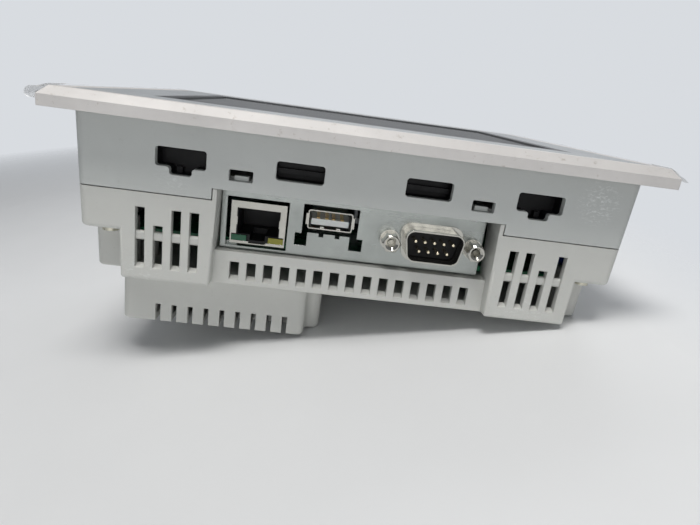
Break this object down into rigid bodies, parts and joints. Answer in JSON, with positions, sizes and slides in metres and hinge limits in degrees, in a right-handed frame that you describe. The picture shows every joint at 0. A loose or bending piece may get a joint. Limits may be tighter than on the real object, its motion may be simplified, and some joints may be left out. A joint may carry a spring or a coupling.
{
  "type": "hmi touch panel",
  "caption": "Panel-mount touch operator terminal: chamfered metal faceplate with touch glass, grey housing with clamp windows and vents, and a recessed connector bay.",
  "frame": {"origin": "centre of the overall box at its lowest level, the flat of the expansion cover", "axes": "+Z out of the display; the connector bay faces -Y; +X to the right when looking at the connectors with the display up"},
  "size_m": [0.1756, 0.135, 0.068],
  "materials": {
    "bezel_aluminium": "satin, lightly soiled",
    "film_clear": "clear gloss film",
    "overlay_print": "printed polyester",
    "touch_glass": "gloss",
    "lcd_dark": "gloss",
    "sheet_steel": "zinc plated",
    "frame_grey": "fine matte",
    "cover_grey": "fine matte",
    "carrier_grey": "matte",
    "black_plastic": "matte",
    "white_plastic": "semi gloss",
    "nickel": "nickel plated",
    "contact_gold": "gold plated",
    "pin_metal": "tinned",
    "led_green": "tinted lens",
    "led_amber": "tinted lens",
    "rubber_black": "matte",
    "board_green": "solder mask",
    "chip_black": "matte",
    "cap_blue": "printed sleeve",
    "screw_steel": "zinc plated",
    "sink_aluminium": "anodised",
    "header_green": "matte",
    "ribbon_white": "film"
  },
  "bodies": {
    "root": {"front_bezel": "bezel_aluminium", "protective_film": "film_clear", "front_overlay": "overlay_print", "touch_glass": "touch_glass", "lcd_glass": "lcd_dark", "lcd_chassis": "sheet_steel", "panel_gasket": "rubber_black", "bezel_screws": "screw_steel", "front_frame": "frame_grey", "clamp_cups_t": "black_plastic", "clamp_cups_plain": "black_plastic", "inner_carrier": "carrier_grey", "rear_cover": "cover_grey", "cover_screws": "screw_steel", "expansion_cover": "cover_grey", "expansion_screws": "screw_steel", "expansion_board": "board_green", "expansion_link": "black_plastic", "connector_plate": "sheet_steel", "rj45_shield": "nickel", "rj45_insert": "black_plastic", "rj45_contacts": "contact_gold", "rj45_led_green": "led_green", "rj45_led_amber": "led_amber", "usb_shell": "nickel", "usb_tongue": "white_plastic", "usb_contacts": "contact_gold", "dsub_shell": "nickel", "dsub_insulator": "black_plastic", "dsub_pins": "pin_metal", "jackscrews": "nickel", "main_board": "board_green", "display_board": "board_green", "board_standoffs": "nickel", "board_spacers": "white_plastic", "board_screws": "screw_steel", "processor": "chip_black", "heat_sink": "sink_aluminium", "board_chips": "chip_black", "board_capacitors": "cap_blue", "cell_holder": "black_plastic", "coin_cell": "nickel", "display_ribbon": "ribbon_white", "power_header": "header_green", "power_pins": "pin_metal"}
  },
  "joints": []
}
